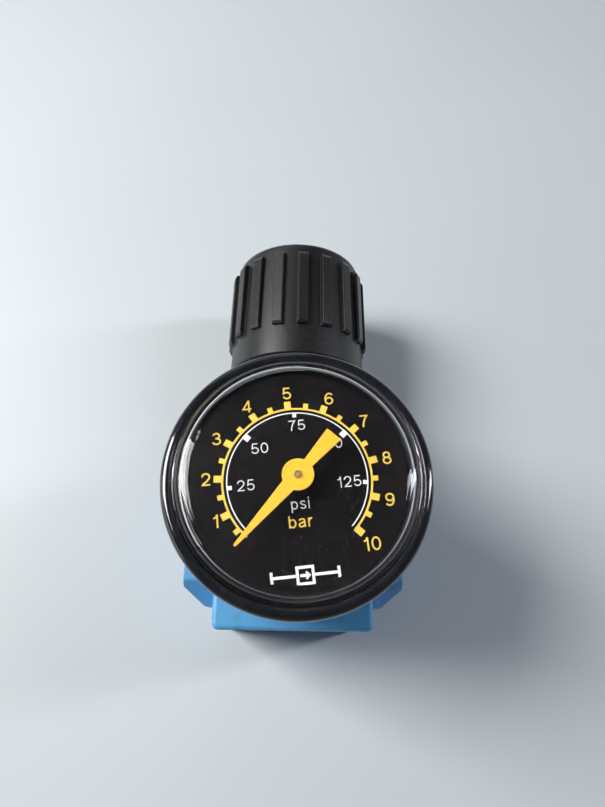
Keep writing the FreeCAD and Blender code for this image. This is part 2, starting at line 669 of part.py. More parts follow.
# ---------------------------------------------------------------- knob
knob = new_body("knob", y=s.knob_low, z=mid, turn=KNOB_TURN)
revolve(knob, "shell", "XY_Plane", [
    (s.skirt_room, 0),
    (s.skirt_edge - 0.25, 0),
    (s.skirt_edge, 0.25),
    (s.knob_skirt, s.knob_tall),
    (s.cap_radius, s.knob_tall),
    (s.cap_radius, s.knob_tall - s.cap_thick),
    (0, s.knob_tall - s.cap_thick),
    (0, s.knob_hub_low),
    (s.knob_hub, s.knob_hub_low),
    (s.knob_hub, s.knob_roof),
    (s.knob_room, s.knob_roof),
    (s.knob_room, s.skirt_depth),
    (s.skirt_room, s.skirt_depth),
])
round_edges(knob, "shoulder", s.knob_round, lambda e: is_circle(
    e, s.knob_skirt.value, FreeCAD.Vector(0, s.knob_tall.value, 0)))
hexagon(knob, "drive_socket", "Subtractive", s.drive_hex + s.fit_gap + 0.01, s.knob_roof - 0.4 - s.knob_hub_low,
        (0, s.knob_hub_low, 0), ALONG_Y)
rib = pad(knob, "grip_rib", "XY_Plane", [
    (s.knob_skirt - 0.8, s.rib_low),
    (s.rib_outer_low - 0.35, s.rib_low),
    (s.rib_outer_low, s.rib_low + 0.6),
    (s.rib_outer, s.rib_high - 0.8),
    (s.rib_outer - 0.5, s.rib_high),
    (s.knob_skirt - 0.8, s.rib_high),
], s.rib_half * 2, midplane=True)
around(knob, "grip_ribs", rib, "Y_Axis", s.rib_count)
rib_corner = math.hypot((s.rib_outer.value + s.rib_outer_low.value) / 2, s.rib_half.value)
round_edges(knob, "rib_edges", s.rib_round, lambda e: lies_along(
    e, FreeCAD.Vector(0, 1, 0), lambda m: abs(math.hypot(m.x, m.z) - rib_corner) < 0.01))
turned_on_spindle("knob_cap", s.knob_low + s.knob_tall - s.cap_thick, [
    (0, 0),
    (s.cap_radius, 0),
    (s.cap_radius, s.cap_thick - 0.35),
    (s.cap_radius - 0.25, s.cap_thick - 0.1),
    (0, s.cap_thick - 0.1),
])

# ---------------------------------------------------------------- gauge socket and case
flats_low = s.body_front + s.washer_thick
socket = turned_on_gauge("gauge_socket", s.socket_low, [
    (1.2, 0),
    (s.gauge_bore - 0.5, 0),
    (s.gauge_bore, 0.5),
    (s.gauge_bore, flats_low - s.socket_low),
    (5.2, flats_low - s.socket_low),
    (5.2, s.case_back + s.case_wall + 0.8 - s.socket_low),
    (1.2, s.case_back + s.case_wall + 0.8 - s.socket_low),
])
pad(socket, "spanner_square", "XY_Plane", [
    (-s.socket_flats, -s.socket_flats),
    (s.socket_flats, -s.socket_flats),
    (s.socket_flats, s.socket_flats),
    (-s.socket_flats, s.socket_flats),
], s.case_back - flats_low, offset=flats_low - s.socket_low)
rod(socket, "pressure_bore", "Subtractive", 1.2, s.case_back + 1 - s.socket_low, (0, 0, 0), ALONG_Z)
turned_on_gauge("gauge_washer", s.body_front, [
    (s.gauge_bore, 0),
    (s.washer_radius, 0),
    (s.washer_radius, s.washer_thick),
    (s.gauge_bore, s.washer_thick),
])
ledge = s.dial_level - s.dial_thick - s.case_back
case = turned_on_gauge("gauge_case", s.case_back, [
    (5.2, 0),
    (s.case_barrel - 1.6, 0),
    (s.case_barrel, 1.6),
    (s.case_barrel, ledge - 1.2),
    (s.case_outer, ledge - 0.4),
    (s.case_outer, s.case_rim - s.case_back),
    (s.case_inner, s.case_rim - s.case_back),
    (s.case_inner, ledge),
    (s.case_barrel - 2.2, ledge),
    (s.case_barrel - 2.2, ledge - 1.0),
    (s.case_barrel - s.case_wall, ledge - 2.0),
    (s.case_barrel - s.case_wall, 2.0),
    (s.case_barrel - s.case_wall - 1.0, s.case_wall),
    (5.2, s.case_wall),
])
rim_centre = FreeCAD.Vector(0, 0, (s.case_rim - s.case_back).value)
round_edges(case, "rim_bead", s.rim_round, lambda e: is_circle(e, s.case_outer.value, rim_centre))
round_edges(case, "rim_bead_inside", s.rim_round_inside, lambda e: is_circle(
    e, s.case_inner.value, rim_centre))
turned_on_gauge("dial", s.dial_level - s.dial_thick, [
    (1.4, 0),
    (s.dial_radius, 0),
    (s.dial_radius, s.dial_thick),
    (1.4, s.dial_thick),
])
crystal_tall = s.crystal_top - s.dial_level
crystal = turned_on_gauge("crystal", s.dial_level, [
    (0, crystal_tall - s.crystal_thick),
    (s.crystal_inner, crystal_tall - s.crystal_thick),
    (s.crystal_inner, 0),
    (s.dial_radius, 0),
    (s.dial_radius, 1.4),
    (s.crystal_outer, 1.6),
    (s.crystal_outer, s.crystal_lip),
    (s.crystal_dome, s.crystal_lip),
    (s.crystal_dome, crystal_tall),
    (0, crystal_tall),
])
round_edges(crystal, "lip_edge", 0.22, lambda e: is_circle(
    e, s.crystal_outer.value, FreeCAD.Vector(0, 0, s.crystal_lip.value)))
round_edges(crystal, "shoulder", s.crystal_round, lambda e: is_circle(
    e, s.crystal_dome.value, FreeCAD.Vector(0, 0, crystal_tall.value)))
round_edges(crystal, "shoulder_inside", s.crystal_round - s.crystal_thick + 0.4, lambda e: is_circle(
    e, s.crystal_inner.value, FreeCAD.Vector(0, 0, (crystal_tall - s.crystal_thick).value)))

# ---------------------------------------------------------------- pointer and gauge movement
pointer = new_body("pointer", z=s.pointer_level,
                   turn=FreeCAD.Rotation(FreeCAD.Vector(0, 0, 1), s.pointer_rest.value))
rod(pointer, "hub", "Additive", s.pointer_hub, s.pointer_thick, (0, 0, 0), ALONG_Z)
pad(pointer, "needle", "XY_Plane", [
    (1.5, -1.1),
    (s.needle_tip - 0.25, -0.22),
    (s.needle_tip - 0.08, -0.15),
    (s.needle_tip, 0),
    (s.needle_tip - 0.08, 0.15),
    (s.needle_tip - 0.25, 0.22),
    (1.5, 1.1),
], s.pointer_thick)
pad(pointer, "tail", "XY_Plane", [
    (-1.5, 0.7),
    (0.12 - s.tail_end, s.tail_half),
    (0.03 - s.tail_end, s.tail_half / 2),
    (0.03 - s.tail_end, -s.tail_half / 2),
    (0.12 - s.tail_end, -s.tail_half),
    (-1.5, -0.7),
], s.pointer_thick)
rod(pointer, "arbor_hole", "Subtractive", s.arbor, s.pointer_thick, (0, 0, 0), ALONG_Z)


def gear_outline(teeth, module, backlash, first, last):
    """Corner points of stub involute teeth numbered first to last about the origin."""
    pitch = module * teeth / 2
    base = pitch * math.cos(math.radians(20))
    tip = pitch + 0.8 * module
    root = pitch - 1.1 * module
    half = math.pi / (2 * teeth) - backlash / (2 * pitch)
    points = []

    def flank(radius):
        if radius < base:
            roll = 0.0
        else:
            roll = math.sqrt((radius / base) ** 2 - 1)
            roll -= math.atan(roll)
        at_pitch = math.tan(math.radians(20)) - math.radians(20)
        return half + at_pitch - roll

    steps = [root] + [max(base, root) + (tip - max(base, root)) * part / 4 for part in range(5)]
    for number in range(first, last + 1):
        middle = 2 * math.pi * number / teeth
        for radius in steps:
            points.append((radius, middle - flank(radius)))
        for radius in reversed(steps):
            points.append((radius, middle + flank(radius)))
    return [FreeCAD.Vector(r * math.cos(a), r * math.sin(a), 0) for r, a in points]


def toothed_plate(name, teeth, module, backlash, first, last, thickness, hub):
    """A gear or a toothed sector as one flat solid, closed through the hub when partial."""
    points = gear_outline(teeth, module, backlash, first, last)
    if last - first + 1 < teeth:
        points = points + [FreeCAD.Vector(-hub, hub * 1.2, 0), FreeCAD.Vector(-hub, -hub * 1.2, 0)]
    shape = Part.Face(Part.makePolygon(points + points[:1])).extrude(FreeCAD.Vector(0, 0, thickness))
    feature = doc.addObject("Part::Feature", name)
    feature.Shape = shape
    return feature


bearing = math.radians(s.sector_bearing.value)
spacing = s.gear_module * (s.pinion_teeth + s.sector_teeth) / 2
pivot_x = spacing * math.cos(bearing)
pivot_y = spacing * math.sin(bearing)
gear_level = as_dim(48.8)

arbor = doc.addObject("Part::Cylinder", "pointer_arbor_rod")
bind(arbor, Radius=s.arbor, Height=s.pointer_level + s.pointer_thick + 0.2 - 47.6)
place(arbor, z=47.6)
pinion = toothed_plate("pointer_pinion_teeth", int(s.pinion_teeth.value), s.gear_module.value, 0.04,
                       0, int(s.pinion_teeth.value) - 1, 1.6, 0)
place(pinion, z=gear_level - 0.2, turn=FreeCAD.Rotation(FreeCAD.Vector(0, 0, 1), s.sector_bearing.value))
pointer_arbor = doc.addObject("Part::MultiFuse", "pointer_arbor")
pointer_arbor.Shapes = [arbor, pinion]
pointer_arbor.Label = "pointer_arbor"
nodes.append(pointer_arbor)

tooth_turn = s.sector_bearing.value + 180 + 180.0 / s.sector_teeth.value
sector_plate = toothed_plate("sector_plate", int(s.sector_teeth.value), s.gear_module.value, 0.04,
                             -11, 3, 1.0, 1.2)
place(sector_plate, x=pivot_x, y=pivot_y, z=gear_level,
      turn=FreeCAD.Rotation(FreeCAD.Vector(0, 0, 1), tooth_turn))
sector_arm = doc.addObject("Part::Box", "sector_arm")
bind(sector_arm, Length=4.9, Width=1.6, Height=1.0)
tail_turn = FreeCAD.Rotation(FreeCAD.Vector(0, 0, 1), -20)
place(sector_arm, x=pivot_x + 0.8 * math.sin(math.radians(-20)),
      y=pivot_y - 0.8 * math.cos(math.radians(-20)), z=gear_level, turn=tail_turn)
sector_arbor = doc.addObject("Part::Cylinder", "sector_arbor")
bind(sector_arbor, Radius=0.6, Height=4.1)
place(sector_arbor, x=pivot_x, y=pivot_y, z=47.6)
tail_x = pivot_x + 4.2 * math.cos(math.radians(-20))
tail_y = pivot_y + 4.2 * math.sin(math.radians(-20))
link_pin = doc.addObject("Part::Cylinder", "link_pin")
bind(link_pin, Radius=0.4, Height=2.0)
place(link_pin, x=tail_x, y=tail_y, z=gear_level)
sector = doc.addObject("Part::MultiFuse", "sector_gear")
sector.Shapes = [sector_plate, sector_arm, sector_arbor, link_pin]
sector.Label = "sector_gear"
nodes.append(sector)

plate_low = -4.0
plate_high = spacing + 2.6
plate_half = 4.2
pillar_spots = [(-3.0, -3.2), (-3.0, 3.2), (spacing + 1.6, -3.4)]


def movement_plate(label, level):
    """A brass plate with holes for the pointer arbor, the sector and the pillars."""
    plate = new_body(label, z=level, turn=FreeCAD.Rotation(FreeCAD.Vector(0, 0, 1), s.sector_bearing.value))
    pad(plate, "sheet", "XY_Plane", [
        (plate_low, 1.6 - plate_half),
        (plate_low + 1.6, -plate_half),
        (plate_high, -plate_half),
        (plate_high, plate_half - 2.5),
        (plate_high - 2.5, plate_half),
        (plate_low + 1.6, plate_half),
        (plate_low, plate_half - 1.6),
    ], 0.8)
    rod(plate, "pointer_pivot", "Subtractive", s.arbor + s.fit_gap, 0.8, (0, 0, 0), ALONG_Z)
    rod(plate, "sector_pivot", "Subtractive", 0.6 + s.fit_gap, 0.8, (spacing, 0, 0), ALONG_Z)
    for index, (along, across) in enumerate(pillar_spots, start=1):
        rod(plate, "pillar_hole_%d" % index, "Subtractive", 0.6, 0.8, (along, across, 0), ALONG_Z)


movement_plate("movement_plate_lower", 47.4)
movement_plate("movement_plate_upper", 51.0)
pillar_feet = (s.case_back + s.case_wall + 0.8, s.case_back + s.case_wall + 0.8, s.case_back + s.case_wall)
for index, ((along, across), foot) in enumerate(zip(pillar_spots, pillar_feet), start=1):
    turned_on_gauge("movement_pillar_%d" % index, 0, [
        (0, foot),
        (0.9, foot),
        (0.9, 47.4),
        (0.6, 47.4),
        (0.6, 48.2),
        (0.9, 48.2),
        (0.9, 51.0),
        (0.6, 51.0),
        (0.6, 51.8),
        (1.1, 51.8),
        (1.1, 52.2),
        (0, 52.2),
    ], x=along * math.cos(bearing) - across * math.sin(bearing),
        y=along * math.sin(bearing) + across * math.cos(bearing))

spiral_turns = 3.25
spiral_half = 0.06
inner_side = []
outer_side = []
for step in range(131):
    part_way = step / 130
    angle = 2 * math.pi * spiral_turns * part_way
    middle_radius = s.arbor.value + spiral_half + 2.3 * part_way
    for side_points, reach in ((inner_side, middle_radius - spiral_half), (outer_side, middle_radius + spiral_half)):
        side_points.append(FreeCAD.Vector(reach * math.cos(angle), reach * math.sin(angle), 0))
ribbon = outer_side + inner_side[::-1]
hairspring = doc.addObject("Part::Feature", "hairspring")
hairspring.Shape = Part.Face(Part.makePolygon(ribbon + ribbon[:1])).extrude(FreeCAD.Vector(0, 0, 0.4))
hairspring.Label = "hairspring"
place(hairspring, z=50.35)
nodes.append(hairspring)

# ---------------------------------------------------------------- tube spring, its arm, tip and link
tube = new_body("bourdon_tube", z=s.tube_low)
inner_r = s.tube_mean - s.tube_half
outer_r = s.tube_mean + s.tube_half
revolve(tube, "curved_tube", "XZ_Plane", [
    (inner_r, 0.4),
    (inner_r + 0.4, 0),
    (outer_r - 0.4, 0),
    (outer_r, 0.4),
    (outer_r, s.tube_tall - 0.4),
    (outer_r - 0.4, s.tube_tall),
    (inner_r + 0.4, s.tube_tall),
    (inner_r, s.tube_tall - 0.4),
], angle=245)

arm = new_body("tube_arm", z=s.case_back + s.case_wall, turn=FreeCAD.Rotation(FreeCAD.Vector(0, 0, 1), 250))
box(arm, "foot", "Additive", (5.3, -2.5, 0), (s.tube_mean + 1.6, 2.5, 1.6))
box(arm, "post", "Additive", (inner_r - 0.9, -1.1, 0), (s.tube_mean + 1.6, 2.5, s.tube_tall + 3.4))

tip = new_body("bourdon_tip", z=s.tube_low)
box(tip, "cap", "Additive", (inner_r - 0.4, -2.2, 0), (outer_r + 0.4, 0, s.tube_tall))
box(tip, "lug", "Additive", (12.2, -1.6, s.tube_tall - 1.8), (inner_r - 0.2, -0.4, s.tube_tall - 1.2))

link = new_body("tip_link", x=tail_x, y=tail_y, z=gear_level + 1.3,
                turn=FreeCAD.Rotation(FreeCAD.Vector(0, 0, 1), 77))
box(link, "bar", "Additive", (-0.9, -0.7, 0), (8.6, 0.7, 0.5))
rod(link, "pin_hole", "Subtractive", 0.4 + s.fit_gap, 0.5, (0, 0, 0), ALONG_Z)

# ---------------------------------------------------------------- checks and STEP files
doc.recompute()
for feature in doc.Objects:
    if "Invalid" in feature.State or "Error" in feature.State:
        raise RuntimeError("%s is not valid: %s" % (feature.Name, feature.State))
os.makedirs("parts", exist_ok=True)
for node in nodes:
    shape = node.Shape
    if shape.isNull() or not shape.isValid() or not shape.Solids:
        raise RuntimeError("no sound solid in " + node.Label)
    shape.exportStep("parts/%s.step" % node.Label)
print("wrote %d parts" % len(nodes))
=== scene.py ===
import json
import math

import bmesh
import bpy
from mathutils import Matrix, Vector


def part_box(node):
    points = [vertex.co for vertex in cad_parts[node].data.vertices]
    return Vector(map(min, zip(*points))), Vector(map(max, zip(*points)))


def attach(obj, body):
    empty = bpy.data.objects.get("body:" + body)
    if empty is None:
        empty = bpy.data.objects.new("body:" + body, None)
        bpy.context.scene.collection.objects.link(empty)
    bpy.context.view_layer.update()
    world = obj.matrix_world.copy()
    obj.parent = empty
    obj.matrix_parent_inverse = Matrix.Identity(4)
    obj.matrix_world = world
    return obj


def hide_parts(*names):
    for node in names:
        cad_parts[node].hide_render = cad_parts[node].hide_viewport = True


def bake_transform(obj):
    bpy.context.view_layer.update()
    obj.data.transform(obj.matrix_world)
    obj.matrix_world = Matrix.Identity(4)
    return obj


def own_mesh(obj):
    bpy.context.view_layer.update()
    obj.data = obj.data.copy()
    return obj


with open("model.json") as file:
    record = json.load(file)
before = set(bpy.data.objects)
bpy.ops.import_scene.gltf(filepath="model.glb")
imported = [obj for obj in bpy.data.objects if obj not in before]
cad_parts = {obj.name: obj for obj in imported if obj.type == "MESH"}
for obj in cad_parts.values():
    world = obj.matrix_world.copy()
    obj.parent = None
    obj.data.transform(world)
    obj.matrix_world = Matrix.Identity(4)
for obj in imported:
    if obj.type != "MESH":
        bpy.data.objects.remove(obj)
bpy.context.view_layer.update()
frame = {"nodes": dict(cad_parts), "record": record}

MM = 0.001
NODES = frame["nodes"]

# ------------------------------------------------------------------ node trees


class Tree:
    """A material's node tree, with short ways to add nodes and join them."""

    def __init__(self, name):
        self.material = bpy.data.materials.new(name)
        self.material.use_nodes = True
        self.nodes = self.material.node_tree.nodes
        self.links = self.material.node_tree.links
        self.nodes.clear()
        self.place = self.add("ShaderNodeTexCoord").outputs["Object"]

    def add(self, kind, inputs=None, **settings):
        """Add a node; inputs maps each socket to a value or to the output that feeds it."""
        node = self.nodes.new(kind)
        for key, value in settings.items():
            setattr(node, key, value)
        for key, value in (inputs or {}).items():
            if isinstance(value, bpy.types.NodeSocket):
                self.links.new(value, node.inputs[key])
            else:
                node.inputs[key].default_value = value
        return node

    def maths(self, operation, a, b):
        return self.add("ShaderNodeMath", {0: a, 1: b}, operation=operation).outputs[0]

    def remap(self, value, low, high, to_low=0.0, to_high=1.0):
        """Stretch the range low to high onto to_low to to_high, and stop at both ends."""
        node = self.add("ShaderNodeMapRange", {
            "Value": value, "From Min": low, "From Max": high, "To Min": to_low, "To Max": to_high})
        return node.outputs["Result"]

    def mix(self, factor, a, b):
        node = self.add("ShaderNodeMix", {0: factor, 6: a, 7: b}, data_type="RGBA")
        return node.outputs[2]

    def stretched(self, scale):
        """The object's own coordinates, scaled along each axis."""
        return self.add("ShaderNodeMapping", {"Vector": self.place, "Scale": scale}).outputs[0]

    def noise(self, size, detail=2.0, vector=None, distortion=0.0):
        """Noise whose blotches are about `size` metres across."""
        node = self.add("ShaderNodeTexNoise", {
            "Vector": vector or self.place, "Scale": 1.0 / size, "Detail": detail,
            "Distortion": distortion})
        return node.outputs["Fac"]

    def spots(self, spacing, radius):
        """1 inside small round spots about `spacing` apart, 0 outside."""
        node = self.add("ShaderNodeTexVoronoi", {
            "Vector": self.place, "Scale": 1.0 / spacing, "Randomness": 1.0})
        size = self.maths("MULTIPLY", self.add("ShaderNodeSeparateColor", {
            "Color": node.outputs["Color"]}).outputs[0], radius / spacing)
        return self.maths("LESS_THAN", node.outputs["Distance"], size)

    def bump(self, height, depth, normal=None):
        inputs = {"Height": height, "Strength": 1.0, "Distance": depth}
        if normal:
            inputs["Normal"] = normal
        return self.add("ShaderNodeBump", inputs).outputs["Normal"]

    def edges(self, radius):
        """A softened normal, and a mask that is 1 along outer and inner edges."""
        soft = self.add("ShaderNodeBevel", {"Radius": radius}, samples=4).outputs["Normal"]
        true = self.add("ShaderNodeNewGeometry").outputs["Normal"]
        dot = self.add("ShaderNodeVectorMath", {0: soft, 1: true}, operation="DOT_PRODUCT").outputs["Value"]
        return soft, self.remap(dot, 0.995, 0.8)

    def finish(self, **sockets):
        """End in a Principled shader with these sockets."""
        names = {key.replace("_", " "): value for key, value in sockets.items()}
        shader = self.add("ShaderNodeBsdfPrincipled", names)
        self.end(shader.outputs[0])
        return self.material

    def end(self, shader):
        self.add("ShaderNodeOutputMaterial", {"Surface": shader})
        return self.material


def shade(colour, factor):
    """A darker or lighter version of a colour."""
    return tuple(min(1.0, channel * factor) for channel in colour[:3]) + (1.0,)


# ------------------------------------------------------------------ materials


def body_paint():
    """Satin light-blue paint over a die-casting, rubbed on its edges."""
    t = Tree("body_paint")
    blue = (0.1, 0.38, 0.72, 1.0)
    soft, edge = t.edges(0.35 * MM)
    broad = t.noise(9 * MM, 3.0)
    peel = t.noise(0.55 * MM, 2.0)
    grain = t.noise(0.16 * MM, 1.0)
    paint = t.mix(t.remap(broad, 0.35, 0.7), shade(blue, 0.9), shade(blue, 1.08))
    grime = t.maths("MULTIPLY", t.remap(t.noise(2.6 * MM, 5.0), 0.56, 0.72), 0.35)
    paint = t.mix(grime, paint, (0.05, 0.14, 0.22, 1.0))
    rub = t.maths("MULTIPLY", edge, t.remap(t.noise(1.4 * MM, 4.0), 0.5, 0.62))
    paint = t.mix(t.maths("MULTIPLY", rub, 0.75), paint, (0.42, 0.6, 0.72, 1.0))
    chip = t.maths("MULTIPLY", t.spots(3.2 * MM, 0.55 * MM), t.remap(t.noise(6 * MM), 0.56, 0.6))
    paint = t.mix(t.maths("MULTIPLY", chip, 0.8), paint, (0.62, 0.66, 0.68, 1.0))
    rough = t.remap(t.noise(1.8 * MM, 3.0), 0.3, 0.7, 0.34, 0.5)
    normal = t.bump(peel, 0.012 * MM, t.bump(grain, 0.006 * MM, soft))
    return t.finish(Base_Color=paint, Roughness=rough, Normal=normal, Coat_Weight=0.15, Coat_Roughness=0.3)


def moulded_black(name, tone, rough_low, rough_high, grain_depth, shine=0.5):
    """Black moulded plastic with a fine eroded texture and a little dust."""
    t = Tree(name)
    soft, edge = t.edges(0.22 * MM)
    grain = t.noise(0.14 * MM, 2.0)
    flow = t.noise(5 * MM, 3.0, t.stretched((1.0, 0.35, 1.0)))
    tint = t.mix(t.remap(flow, 0.3, 0.7), shade(tone, 0.85), shade(tone, 1.25))
    dust = t.maths("MULTIPLY", t.remap(t.noise(1.1 * MM, 5.0), 0.55, 0.75), 0.02)
    tint = t.mix(dust, tint, (0.3, 0.29, 0.27, 1.0))
    worn = t.maths("MULTIPLY", edge, t.remap(t.noise(0.9 * MM, 3.0), 0.45, 0.65))
    tint = t.mix(t.maths("MULTIPLY", worn, 0.1), tint, (0.16, 0.16, 0.16, 1.0))
    rough = t.remap(t.noise(0.8 * MM, 3.0), 0.3, 0.7, rough_low, rough_high)
    return t.finish(Base_Color=tint, Roughness=rough, Normal=t.bump(grain, grain_depth, soft),
                    Specular_IOR_Level=shine)


def case_black():
    """Gloss black enamel of the gauge case, with hairline scratches."""
    t = Tree("case_black")
    soft, edge = t.edges(0.15 * MM)
    ripple = t.noise(1.6 * MM, 1.0)
    cloud = t.remap(t.noise(4 * MM, 3.0), 0.3, 0.7)
    tint = t.mix(cloud, (0.008, 0.009, 0.012, 1.0), (0.016, 0.017, 0.021, 1.0))
    worn = t.maths("MULTIPLY", edge, t.remap(t.noise(0.7 * MM, 3.0), 0.56, 0.66))
    tint = t.mix(t.maths("MULTIPLY", worn, 0.3), tint, (0.35, 0.3, 0.24, 1.0))
    hair = t.noise(0.12 * MM, 0.0, t.stretched((1.0, 0.04, 1.0)))
    rough = t.remap(hair, 0.6, 0.8, 0.07, 0.3)
    return t.finish(Base_Color=tint, Roughness=rough, Normal=t.bump(ripple, 0.004 * MM, soft),
                    Coat_Weight=0.5, Coat_Roughness=0.06)


def dial_black():
    """Printed black dial sheet; its broad mottling between a faintly violet and a faintly warm near-black is
    painted reflection.
    """
    t = Tree("dial_black")
    # Painted reflection: broad mottling of the near-black tint in faint violet and warm hues.
    cloud = t.remap(t.noise(6 * MM, 2.0), 0.3, 0.7)
    tint = t.mix(cloud, (0.0035, 0.003, 0.0035, 1.0), (0.006, 0.005, 0.005, 1.0))
    rough = t.remap(t.noise(0.4 * MM, 2.0), 0.3, 0.7, 0.42, 0.55)
    return t.finish(Base_Color=tint, Roughness=rough, Normal=t.bump(t.noise(0.09 * MM), 0.002 * MM),
                    Specular_IOR_Level=0.08)


def paint_coat(name, colour, rough=0.42):
    """An even coat of paint or ink with a trace of mottling, and painted shade darkening it along its edges.
    """
    t = Tree(name)
    soft, edge = t.edges(0.06 * MM)
    tint = t.mix(t.remap(t.noise(0.5 * MM, 3.0), 0.3, 0.7), shade(colour, 0.9), shade(colour, 1.06))
    # Painted shade: the colour darkens along outer edges and into inner corners.
    tint = t.mix(t.maths("MULTIPLY", edge, 0.35), tint, shade(colour, 0.6))
    rough = t.remap(t.noise(0.3 * MM, 2.0), 0.3, 0.7, rough - 0.06, rough + 0.08)
    return t.finish(Base_Color=tint, Roughness=rough, Normal=t.bump(t.noise(0.12 * MM), 0.003 * MM, soft))


def crystal_clear():
    """Clear moulded window that lets lamps through, with dust and hairline scratches."""
    t = Tree("crystal_clear")
    haze = t.remap(t.noise(3 * MM, 3.0), 0.4, 0.8, 0.015, 0.05)
    glass = t.add("ShaderNodeBsdfPrincipled", {
        "Base Color": (0.985, 0.99, 1.0, 1.0), "Roughness": haze, "IOR": 1.49, "Transmission Weight": 1.0})
    open_to_lamps = t.add("ShaderNodeBsdfTransparent", {"Color": (0.9, 0.91, 0.92, 1.0)})
    lamp_ray = t.add("ShaderNodeLightPath").outputs["Is Shadow Ray"]
    clear = t.add("ShaderNodeMixShader", {0: lamp_ray, 1: glass.outputs[0], 2: open_to_lamps.outputs[0]})
    speck = t.maths("MULTIPLY", t.spots(0.8 * MM, 0.08 * MM), t.remap(t.noise(4 * MM, 2.0), 0.45, 0.58))
    lint = t.remap(t.noise(0.1 * MM, 0.0, t.stretched((1.0, 0.12, 1.0)), 1.5), 0.78, 0.82)
    lint = t.maths("MULTIPLY", lint, t.remap(t.noise(6 * MM, 1.0), 0.56, 0.62))
    dirt = t.maths("MULTIPLY", t.maths("MAXIMUM", speck, t.maths("MULTIPLY", lint, 0.6)), 0.2)
    dust = t.add("ShaderNodeBsdfDiffuse", {"Color": (0.75, 0.73, 0.7, 1.0)})
    full = t.add("ShaderNodeMixShader", {0: dirt, 1: clear.outputs[0], 2: dust.outputs[0]})
    return t.end(full.outputs[0])


def turned_metal(name, colour, rough, axis):
    """Metal with turning marks that ring an axis."""
    t = Tree(name)
    part = t.add("ShaderNodeSeparateXYZ", {"Vector": t.place})
    across = [part.outputs[index] for index in range(3) if index != axis]
    flat = t.add("ShaderNodeCombineXYZ", {"X": across[0], "Y": across[1]}).outputs[0]
    reach = t.add("ShaderNodeVectorMath", {0: flat}, operation="LENGTH").outputs["Value"]
    rings = t.add("ShaderNodeCombineXYZ", {"X": reach, "Y": part.outputs[axis]}).outputs[0]
    marks = t.noise(0.12 * MM, 1.0, rings)
    soft, edge = t.edges(0.12 * MM)
    tint = t.mix(t.remap(t.noise(2.2 * MM, 4.0), 0.35, 0.7), shade(colour, 0.8), shade(colour, 1.05))
    tint = t.mix(t.maths("MULTIPLY", edge, 0.4), tint, shade(colour, 1.3))
    shine = t.remap(marks, 0.3, 0.7, rough - 0.06, rough + 0.1)
    normal = t.bump(marks, 0.003 * MM, soft)
    return t.finish(Base_Color=tint, Metallic=1.0, Roughness=shine, Normal=normal)


def drawn_metal(name, colour, rough):
    """Drawn wire, tube or sheet with a fine cloudy sheen."""
    t = Tree(name)
    tint = t.mix(t.remap(t.noise(1.2 * MM, 4.0), 0.35, 0.7), shade(colour, 0.75), shade(colour, 1.1))
    shine = t.remap(t.noise(0.2 * MM, 2.0), 0.3, 0.7, rough - 0.07, rough + 0.1)
    normal = t.bump(t.noise(0.1 * MM), 0.003 * MM)
    return t.finish(Base_Color=tint, Metallic=1.0, Roughness=shine, Normal=normal)


def rubber():
    """Dull black rubber."""
    t = Tree("rubber_black")
    cloud = t.remap(t.noise(1.5 * MM, 4.0), 0.4, 0.7)
    tint = t.mix(cloud, (0.018, 0.018, 0.018, 1.0), (0.04, 0.038, 0.036, 1.0))
    rough = t.remap(t.noise(0.3 * MM), 0.3, 0.7, 0.65, 0.85)
    return t.finish(Base_Color=tint, Roughness=rough, Normal=t.bump(t.noise(0.15 * MM), 0.005 * MM))


def fibre():
    """Pale sealing washer with a pressed, fibrous grain."""
    t = Tree("washer_fibre")
    threads = t.noise(0.18 * MM, 3.0, t.stretched((1.0, 0.3, 1.0)))
    tint = t.mix(t.remap(threads, 0.35, 0.65), (0.5, 0.46, 0.38, 1.0), (0.74, 0.71, 0.62, 1.0))
    return t.finish(Base_Color=tint, Roughness=0.8, Normal=t.bump(threads, 0.01 * MM))


def floor_pale():
    """Plain pale bench top."""
    t = Tree("floor_pale")
    cloud = t.remap(t.noise(120 * MM, 2.0), 0.3, 0.7)
    tint = t.mix(cloud, (0.56, 0.62, 0.645, 1.0), (0.6, 0.655, 0.68, 1.0))
    return t.finish(Base_Color=tint, Roughness=0.55)


KNOB_TONE = (0.008, 0.0085, 0.009)
BONNET_TONE = (0.014, 0.0145, 0.015)
ALONG_SPINDLE = 1
ALONG_GAUGE = 2
MATERIALS = {
    "body_paint": body_paint(),
    "knob_black": moulded_black("knob_black", KNOB_TONE, 0.34, 0.4, 0.004 * MM, shine=0.75),
    "bonnet_black": moulded_black("bonnet_black", BONNET_TONE, 0.42, 0.56, 0.01 * MM),
    "plug_black": moulded_black("plug_black", BONNET_TONE, 0.42, 0.56, 0.01 * MM),
    "case_black": case_black(),
    "dial_black": dial_black(),
    "crystal_clear": crystal_clear(),
    "pointer_yellow": paint_coat("pointer_yellow", (0.7, 0.375, 0.016)),
    "brass": turned_metal("brass", (0.72, 0.52, 0.24), 0.3, ALONG_GAUGE),
    "steel": turned_metal("steel", (0.58, 0.58, 0.6), 0.3, ALONG_SPINDLE),
    "spring_steel": drawn_metal("spring_steel", (0.45, 0.45, 0.47), 0.35),
    "bronze": drawn_metal("bronze", (0.6, 0.38, 0.2), 0.35),
    "rubber_black": rubber(),
    "aluminium": turned_metal("aluminium", (0.75, 0.76, 0.78), 0.35, ALONG_SPINDLE),
    "screw_steel": drawn_metal("screw_steel", (0.6, 0.6, 0.58), 0.32),
    "washer_fibre": fibre(),
}
INK_YELLOW = paint_coat("ink_yellow", (0.66, 0.44, 0.045), 0.5)
INK_WHITE = paint_coat("ink_white", (0.66, 0.67, 0.66), 0.5)

for part in frame["record"]["subparts"]:
    mesh = NODES[part["node"]].data
    mesh.materials.clear()
    mesh.materials.append(MATERIALS[part["material_slot"]])

# ------------------------------------------------------------------ mesh helpers


